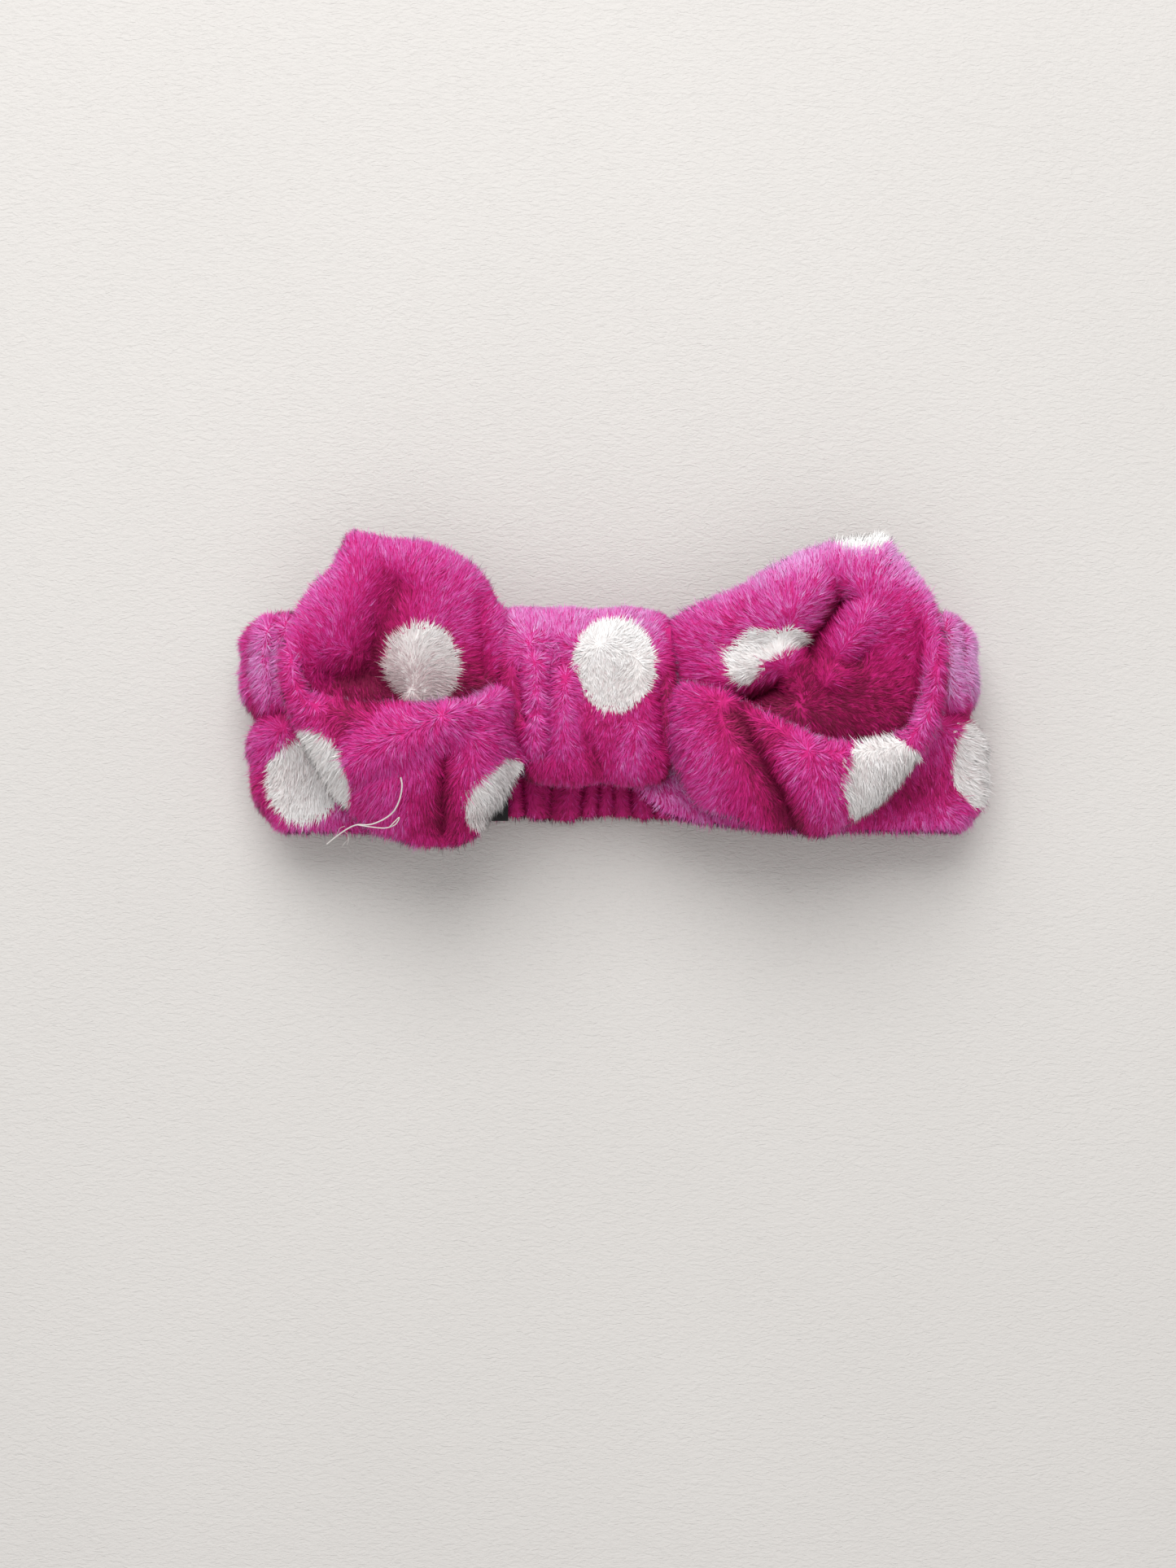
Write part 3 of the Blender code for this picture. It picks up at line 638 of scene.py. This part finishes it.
# Each rib crosses a loop's strip: from the edge at the mouth to the far edge, as (out from the knot's
# side, across, up) in shares of the loop's reach, half span and rise, and the belly in millimetres.
LEFT_RIBS = (
    ((-0.12, 0.46, -0.30), (-0.14, -0.22, -0.30), 0.0),
    ((0.01, 0.56, -0.08), (0.01, -0.27, -0.08), 0.0),
    ((0.12, 0.78, 0.10), (0.12, -0.32, 0.00), -0.3),
    ((0.34, 0.92, 0.28), (0.30, -0.34, 0.01), -0.8),
    ((0.54, 0.94, 0.42), (0.48, -0.36, 0.03), -1.2),
    ((0.66, 0.965, 0.50), (0.60, -0.37, 0.04), -1.2),
    ((0.72, 0.97, 0.54), (0.66, -0.37, 0.05), -1.0),
    ((0.745, 0.90, 0.56), (0.69, -0.375, 0.06), -0.8),
    ((0.80, 0.76, 0.60), (0.76, -0.38, 0.08), -0.4),
    ((0.915, 0.60, 0.66), (0.86, -0.40, 0.12), 0.0),
    ((1.035, 0.34, 0.72), (0.97, -0.44, 0.15), 0.3),
    ((1.065, 0.14, 0.77), (0.97, -0.52, 0.18), 0.5),
    ((1.00, -0.05, 0.82), (0.90, -0.67, 0.20), 1.0),
    ((0.77, -0.11, 0.90), (0.77, -0.83, 0.19), 3.0),
    ((0.525, -0.10, 0.92), (0.55, -0.95, 0.18), 5.5),
    ((0.256, -0.10, 0.82), (0.34, -0.95, 0.16), 6.0),
    ((0.10, -0.04, 0.52), (0.20, -0.77, 0.10), 3.5),
    ((0.00, 0.03, 0.08), (0.02, -0.46, 0.02), 0.5),
    ((-0.12, 0.05, -0.12), (-0.12, -0.42, -0.12), 0.0),
)
RIGHT_RIBS = (
    ((-0.10, 0.44, -0.30), (-0.10, -0.24, -0.30), 0.0),
    ((0.01, 0.47, -0.08), (0.01, -0.29, -0.08), 0.0),
    ((0.146, 0.556, 0.10), (0.13, -0.33, 0.00), -0.3),
    ((0.30, 0.64, 0.26), (0.28, -0.35, 0.01), -0.8),
    ((0.45, 0.77, 0.38), (0.42, -0.36, 0.02), -1.2),
    ((0.58, 0.87, 0.46), (0.52, -0.365, 0.03), -1.5),
    ((0.71, 0.93, 0.52), (0.62, -0.37, 0.05), -1.2),
    ((0.84, 0.955, 0.57), (0.70, -0.375, 0.06), -1.0),
    ((0.90, 0.965, 0.60), (0.75, -0.38, 0.07), -0.8),
    ((0.93, 0.88, 0.62), (0.78, -0.39, 0.08), -0.5),
    ((0.99, 0.77, 0.66), (0.84, -0.40, 0.10), 0.0),
    ((1.09, 0.55, 0.70), (0.94, -0.44, 0.13), 0.2),
    ((1.10, 0.16, 0.74), (0.96, -0.50, 0.16), 0.5),
    ((1.06, -0.10, 0.78), (0.92, -0.58, 0.18), 0.8),
    ((0.965, -0.31, 0.82), (0.82, -0.70, 0.20), 1.5),
    ((0.675, -0.355, 0.88), (0.60, -0.93, 0.18), 4.0),
    ((0.50, -0.262, 0.86), (0.44, -0.88, 0.17), 4.5),
    ((0.32, -0.115, 0.74), (0.30, -0.78, 0.16), 4.5),
    ((0.17, 0.00, 0.50), (0.15, -0.68, 0.10), 3.5),
    ((0.00, 0.06, 0.08), (0.02, -0.44, 0.02), 0.5),
    ((-0.10, 0.12, -0.12), (-0.10, -0.42, -0.12), 0.0),
)
LOOP_ROWS = 170
MOUTH_ROLL = 5 * MM  # how far the edge round a loop's mouth rolls away from the viewer
LOOP_REACH = {-1: 0.85, 1: 0.908}  # how far the ribs reach out, as a share of the loop's length


def loop_grid(side, node, ribs, folds):
    """The middle surface of a loop's strip. Row by row it leaves the knot behind, goes out along the
    band, turns round and comes back in front."""
    low, high = (np.array(corner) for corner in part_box(node))
    knot_side = 0.0 if side < 0 else 1.0
    reach = (high[0] - low[0]) * LOOP_REACH[side]
    half_span = (high[1] - low[1]) / 2
    lying = FRONT_Z + 2 * HALF_BAND
    rise = (high[2] - HALF_BAND - lying) * 1.05
    edges = []
    for which in (0, 1):
        ends = []
        for rib in ribs:
            out, across, up = rib[which]
            y = across * half_span
            ends.append((knot_place(knot_side, y) + side * out * reach, y, lying + up * rise))
        edges.append(ends)
    shares = np.linspace(0, 1, LOOP_ROWS)
    mouth, far = spline(edges[0], shares), spline(edges[1], shares)
    belly = spline([(rib[2] * MM, 0, 0) for rib in ribs], shares)[:, 0]
    across = np.linspace(-1, 1, ACROSS)
    weight = ((1 - across) / 2)[None, :, None]
    grid = mouth[:, None] * (1 - weight) + far[:, None] * weight
    out = normals_of(grid) * side * -1
    grid = grid + out * (belly[:, None] * (1 - across**2))[..., None]
    out = normals_of(grid) * side * -1
    share = shares[:, None] + 0 * across[None]
    front = smooth((share - 0.5) / 0.12)
    roll = MOUTH_ROLL * np.clip((across[None] - 0.5) / 0.5, 0, 1) ** 2 * (1 - 1.6 * front)
    fold = folds(grid, front)
    grid = grid + out * (fold + roll)[..., None]
    root = smooth(np.minimum(share, 1 - share) / 0.2)
    half = mix(0.45, 1.0, root) * BACKING * edge_profile(across)[None]
    rim = smooth((np.abs(across[None]) - 0.72) / 0.28)
    lip = smooth((across[None] - 0.6) / 0.4)
    # Painted light and shade on the outer ply: darker in its folds, lighter on their ridges and at the rims
    # of the front part
    painted_light = np.clip(fold / (1.3 * MM), -2.6, 0.5) + 0.5 * rim * front - 0.1 * (1 - rim)
    # Painted shade on the lining: darker deep in the loop's hollow and inside the front part away from its
    # lip, and in its folds; lighter at the lip
    hollow = 1.9 * smooth((0.2 - across[None]) / 0.7) * (1 - 0.4 * front) + 1.6 * front * (1 - lip)
    inner = np.clip(-fold / (1.7 * MM), -3.2, 0.5) + 0.7 * lip - hollow
    # Painted light on the lining, lighter towards +Y, the side of the window lamp
    painted_window_light = smooth((grid[..., 1] - 12 * MM) / (26 * MM)) * (0.6 if side < 0 else 2.4)
    return grid, np.maximum(half, THINNEST), painted_light, inner + painted_window_light * (0.35 + 0.65 * lip)


def left_folds(grid, front):
    """The left loop's own folds, out from its middle surface."""
    outside = crease(grid, (-72, -20), (-46, -8), 4.0, 3.2)
    outside += crease(grid, (-50, -8), (-30, 0), 4.0, 2.4)
    outside += crease(grid, (-80, -6), (-50, -3), 4.0, -2.2)
    outside += crease(grid, (-66, -6), (-76, -14), 5.0, -1.6)
    outside += crease(grid, (-47, -17), (-49, -40), 4.0, -4.4)
    outside += crease(grid, (-62, -36), (-64, -24), 5.0, 1.4)
    outside += crease(grid, (-38, -14), (-36, -30), 4.0, 1.2)
    inside = crease(grid, (-61, 30), (-69, 4), 7.0, 3.4)
    inside += crease(grid, (-82, 4), (-60, -2), 5.0, 3.0)
    inside += crease(grid, (-40, 26), (-38, 4), 2.4, 1.8)
    inside += crease(grid, (-34, 22), (-33, 4), 2.0, -1.5)
    return outside * front + inside * (1 - front) + 0.6 * MM * wander(grid, 14 * MM, 6)


def right_folds(grid, front):
    """The right loop's own folds, out from its middle surface."""
    outside = crease(grid, (33, -6), (52, -42), 4.6, -6.2)
    outside += crease(grid, (22, -12), (30, -36), 4.0, 1.8)
    outside += crease(grid, (50, -18), (62, -36), 4.5, 1.8)
    outside += crease(grid, (66, -20), (62, -38), 3.5, -1.2)
    inside = crease(grid, (65, 26), (53, 10), 4.2, 10.0)
    inside += crease(grid, (56, 31), (42, 17), 4.0, -1.6)
    inside += crease(grid, (70, 22), (60, 4), 3.6, -2.8)
    inside += crease(grid, (36, -4), (48, 1), 3.6, 10.0)
    inside += crease(grid, (28, 4), (48, 10), 3.5, -2.2)
    inside += crease(grid, (55, 6), (70, 10), 3.0, 2.2)
    return outside * front + inside * (1 - front) + 0.6 * MM * wander(grid, 14 * MM, 7)


def make_bow():
    left_dots = [
        (share_of("bow_left_lining", 0.565, 0.56, 0.6), (12.4, 12.6, 9), -1),
        (share_of("bow_left_outer", 0.12, 0.235, 0.45), (12.5, 14, 22), 1),
        (share_of("bow_left_outer", 0.92, 0.175, 0.35), (12.5, 11, 14), 1),
        (share_of("bow_left_outer", 0.45, 0.62, 0.1), (12, 12, 9), 1),
    ]
    # The pocket folds the lining's dot into a crescent
    right_dots = [
        (share_of("bow_right_lining", 0.255, 0.595, 0.3), (5.4, 6.0, 14), -1),
        (share_of("bow_right_lining", 0.335, 0.65, 0.3), (7.2, 5.0, 14), -1),
        (share_of("bow_right_lining", 0.43, 0.665, 0.3), (5.6, 3.6, 14), -1),
        (share_of("bow_right_outer", 0.765, 0.225, 0.6), (13, 12.5, 18), 1),
        (share_of("bow_right_outer", 0.68, 1.0, 0.5), (9, 4.2, 22), 1),
        (share_of("bow_right_outer", 0.68, 1.0, 0.5), (9, 4.2, 22), -1),
        (share_of("bow_right_outer", 0.35, 0.55, 0.1), (12, 12, 9), 1),
    ]
    for name, side, ribs, folds, dots, hollow in (
        ("left", -1, LEFT_RIBS, left_folds, left_dots, (-58, 0, 0)),
        ("right", 1, RIGHT_RIBS, right_folds, right_dots, (52, -4, 0)),
    ):
        comb = comb_along((-0.2, -0.6, 0), (0, 0.1, 0), centre=hollow)
        grid, half, painted_light, inner = loop_grid(side, f"bow_{name}_outer", ribs, folds)
        # The painted light and shade of the outer ply and the lining
        tones = {"painted_tone": painted_light, "inner_painted_tone": inner}
        pair = make_strip(f"bow_{name}", grid, half, dots, comb, outwards=-side, seed=60 + side, **tones)
        root_x = KNOT_LOW[0] if side < 0 else KNOT_HIGH[0]
        bend = ("front", f"{name}_loop", (root_x - side * 3 * MM, 0, 0), (root_x + side * 12 * MM, 0, 0))
        finish_cloth(pair, (f"bow_{name}_outer", f"bow_{name}_lining"), blend=bend)


# ---------------------------------------------------------------- inside and trim


def tube_curve(name, points, diameter, material, resolution=3):
    curve = bpy.data.curves.new(name, "CURVE")
    curve.dimensions = "3D"
    line = curve.splines.new("POLY")
    line.points.add(len(points) - 1)
    for i, point in enumerate(points):
        line.points[i].co = (*point, 1.0)
    curve.bevel_depth = diameter / 2
    curve.bevel_resolution = resolution
    curve.use_fill_caps = True
    curve.materials.append(material)
    return link(name, curve)


def grid_mesh(name, grid, material, closed=False):
    """A sheet of quads through a grid of points."""
    rows, columns = grid.shape[:2]
    faces = []
    for row in range(rows - 1):
        here, there = row * columns, (row + 1) * columns
        for column in range(columns - (0 if closed else 1)):
            onward = (column + 1) % columns
            faces.append((here + column, here + onward, there + onward, there + column))
    mesh = bpy.data.meshes.new(name)
    mesh.from_pydata(grid.reshape(-1, 3).tolist(), [], faces)
    mesh.materials.append(material)
    mesh.shade_smooth()
    return link(name, mesh)


THREAD_DIAMETER = 0.4 * MM
THREAD_ROUTE = (
    (-81.9, -43.5, 37.0),
    (-78.5, -41.0, 40.5),
    (-75.1, -38.9, 44.0),
    (-72.2, -37.8, 47.0),
    (-69.4, -37.8, 49.0),
    (-67.2, -37.4, 50.5),
    (-64.5, -36.3, 52.5),
    (-62.3, -34.9, 54.2),
    (-60.7, -33.2, 55.6),
    (-59.3, -30.3, 57.4),
    (-58.6, -26.9, 58.9),
    (-58.9, -24.6, 59.6),
)  # in millimetres, as on the CAD node
SPLIT_DIAMETER = 0.3 * MM
FRAY_DIAMETER = 0.12 * MM
THREAD_SPLIT = (
    (-72.2, -37.8, 47.2),
    (-68.4, -38.3, 50.0),
    (-64.0, -38.6, 52.6),
    (-61.2, -37.8, 54.4),
    (-60.0, -36.6, 55.4),
    (-59.7, -35.6, 55.8),
    (-61.0, -36.8, 55.0),
    (-62.4, -38.2, 54.0),
)
THREAD_FRAY = (
    ((-76.6, -39.6, 42.6), (-75.4, -40.6, 42.4), (-75.2, -42.2, 41.4), (-75.8, -43.6, 40.4)),
    ((-75.3, -42.0, 41.6), (-76.4, -43.0, 40.6), (-77.2, -44.0, 39.8)),
    ((-79.0, -41.4, 40.0), (-77.6, -39.0, 42.6), (-76.0, -38.2, 43.8)),
)


def make_thread():
    """A loose end of sewing thread that lies on the left loop. It has split in two, and it frays."""
    route = spline(np.array(THREAD_ROUTE) * MM, np.linspace(0, 1, 90))
    thread = tube_curve("loose_thread_yarn", route, THREAD_DIAMETER, THREAD_SPUN)
    strands = [("loose_thread_split", THREAD_SPLIT, SPLIT_DIAMETER)]
    strands += [(f"loose_thread_fray_{i}", path, FRAY_DIAMETER) for i, path in enumerate(THREAD_FRAY)]
    others = []
    for name, path, diameter in strands:
        points = spline(np.array(path) * MM, np.linspace(0, 1, 40))
        others.append(tube_curve(name, points, diameter, THREAD_SPUN, resolution=2))
    for piece in [thread, *others]:
        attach(piece, "left_loop")
        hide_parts("loose_thread")


LABEL_SHORT = 4.6 * MM  # how far the tab stops short of its CAD box, below
LABEL_NARROWER = 3 * MM
LABEL_GAP = 0.35 * MM  # between the tab's two legs, halved
LABEL_CLOTH = 0.18 * MM
TAPE_CLOTH = 0.3 * MM
SEWING_DIAMETER = 0.55 * MM


def make_label():
    """A blank woven label, folded into a loop and caught in the back band's lower edge."""
    low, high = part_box("side_label")
    lip = low[1] + LABEL_SHORT
    around, across = np.meshgrid(np.linspace(0, 1, 60), np.linspace(0, 1, 60), indexing="ij")
    turn = np.clip((around - 0.42) / 0.16, 0, 1) * math.pi
    legs = np.where(around < 0.5, np.clip(around / 0.42, 0, 1), np.clip((1 - around) / 0.42, 0, 1))
    y = high[1] + (lip - high[1]) * legs - LABEL_GAP * np.sin(turn)
    z = low[2] + 1.6 * MM + (high[2] - low[2] - 2.6 * MM) * (1 - legs) * 0.6 - LABEL_GAP * np.cos(turn)
    x = mix(low[0], high[0] - LABEL_NARROWER, across)
    weave = 0.03 * MM * np.sin(across * 44 * math.tau) * np.sin(around * 80 * math.tau)
    grid = np.stack([x, y, z + weave + 0.25 * MM * np.sin(across * 4)], axis=-1)
    label = grid_mesh("side_label_loop", grid, LABEL_WEAVE)
    thicken(label, LABEL_CLOTH)
    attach(label, "back")
    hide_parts("side_label")


def thicken(piece, thickness):
    solid = piece.modifiers.new("thickness", "SOLIDIFY")
    solid.thickness = thickness
    solid.offset = 0


def make_elastic():
    """A ribbed elastic tape that the plies of the back band hide. Bar tacks hold its ends."""
    low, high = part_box("elastic_strip")
    x, across = np.meshgrid(np.linspace(low[0], high[0], 500), np.linspace(0, 1, 90), indexing="ij")
    ribs = 0.05 * MM * np.abs(np.sin(across * 9 * math.pi)) + 0.02 * MM * np.sin(x / (0.35 * MM))
    z = (low[2] + high[2]) / 2 - GROOVE_DROP + ribs
    grid = np.stack([x, mix(low[1], high[1], across), z], axis=-1)
    tape = grid_mesh("elastic_tape", grid, ELASTIC_KNIT)
    thicken(tape, TAPE_CLOTH)
    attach(tape, "back")
    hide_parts("elastic_strip")
    for name in ("elastic_tack_left", "elastic_tack_right"):
        low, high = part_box(name)
        stitches = np.linspace(0, 1, 44)
        zigzag = np.stack(
            [
                np.where(np.arange(44) % 2, low[0] + 0.3 * MM, high[0] - 0.3 * MM),
                mix(low[1], high[1], stitches),
                np.full(44, (low[2] + high[2]) / 2),
            ],
            axis=-1,
        )
        sewn(name, zigzag, "back")


def sewn(node, points, body):
    """A run of thick sewing thread in place of a node."""
    thread = tube_curve(f"{node}_thread", points, SEWING_DIAMETER, THREAD_SPUN)
    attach(thread, body)
    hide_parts(node)


def make_stitches():
    """The whipped seam under the knot, and the thread that gathers the bow's middle."""
    low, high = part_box("knot_seam_stitches")
    count = 61
    x = np.linspace(low[0], high[0], count)
    y = (low[1] + high[1]) / 2 + np.where(np.arange(count) % 2, 0.7, -0.7) * MM
    z = KNOT_LOW[2] + PILE_RISE / 2 + 0.2 * MM * np.sin(np.arange(count) * 2.1)
    sewn("knot_seam_stitches", np.stack([x, y, z], axis=-1), "front")
    low, high = (np.array(corner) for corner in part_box("bow_gather_thread"))
    middle, radius = (low + high) / 2, (high - low) / 2 - 0.3 * MM
    angle = np.linspace(0, 3 * math.tau, 240)
    wound = np.stack(
        [
            middle[0] + radius[0] * np.linspace(-0.8, 0.8, 240),
            middle[1] + radius[1] * np.cos(angle),
            middle[2] + radius[2] * np.sin(angle),
        ],
        axis=-1,
    )
    sewn("bow_gather_thread", wound, "front")


def make_core():
    """The bow's pinched middle, in close pleats, inside the knot."""
    low, high = (np.array(corner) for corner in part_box("bow_core"))
    middle, radius = (low + high) / 2, (high - low) / 2 - 0.8 * MM
    turn = np.linspace(0, math.tau, 160, endpoint=False)
    along, angle = np.meshgrid(np.linspace(-1, 1, 80), turn, indexing="ij")
    pinch = 1 - 0.14 * np.exp(-((along / 0.25) ** 2))
    pleats = 1 + 0.05 * np.sin(angle * 22) * np.abs(np.cos(angle))
    c, s = np.cos(angle), np.sin(angle)
    grid = np.stack(
        [
            middle[0] + radius[0] * along,
            middle[1] + radius[1] * np.sign(c) * np.abs(c) ** 0.7 * pinch * pleats,
            middle[2] + radius[2] * np.sign(s) * np.abs(s) ** 0.7 * pinch * pleats,
        ],
        axis=-1,
    )
    core = grid_mesh("bow_core_pleats", grid, FUCHSIA_KNIT, closed=True)
    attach(core, "front")
    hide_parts("bow_core")


# ---------------------------------------------------------------- stage


def make_stage():
    bpy.ops.mesh.primitive_plane_add(size=6, location=(0, 0, -0.2 * MM))
    floor = bpy.context.object
    floor.name = "table"
    floor.data.materials.append(floor_material())


def make_light():
    world = bpy.data.worlds.new("daylight")
    bpy.context.scene.world = world
    world.use_nodes = True
    world.node_tree.nodes["Background"].inputs["Color"].default_value = (1.0, 0.985, 0.97, 1)
    world.node_tree.nodes["Background"].inputs["Strength"].default_value = 0.62
    for name, place, aim, size, power, color in (
        ("window", (-0.14, 0.85, 1.15), (0, 0, 0), 1.1, 18.5, (1.0, 0.985, 0.97)),
        ("ceiling", (0.05, -0.35, 1.5), (0, 0, 0), 1.2, 3.2, (1.0, 0.985, 0.97)),
    ):
        data = bpy.data.lights.new(name, "AREA")
        data.energy = power
        data.size = size
        data.color = color
        lamp = bpy.data.objects.new(name, data)
        lamp.location = place
        lamp.rotation_euler = (Vector(aim) - Vector(place)).to_track_quat("-Z", "Y").to_euler()
        bpy.context.scene.collection.objects.link(lamp)


def make_camera():
    bpy.context.scene.view_settings.view_transform = "Standard"
    data = bpy.data.cameras.new("camera")
    data.lens = CAMERA_LENS
    data.sensor_width = 36
    camera = bpy.data.objects.new("camera", data)
    camera.location = (*CAMERA_AIM, CAMERA_HEIGHT)
    bpy.context.scene.collection.objects.link(camera)
    bpy.context.scene.camera = camera


make_camera()
make_thread()
make_band()
make_knot()
make_bow()
make_core()
make_elastic()
make_stitches()
make_label()
make_stage()
make_light()
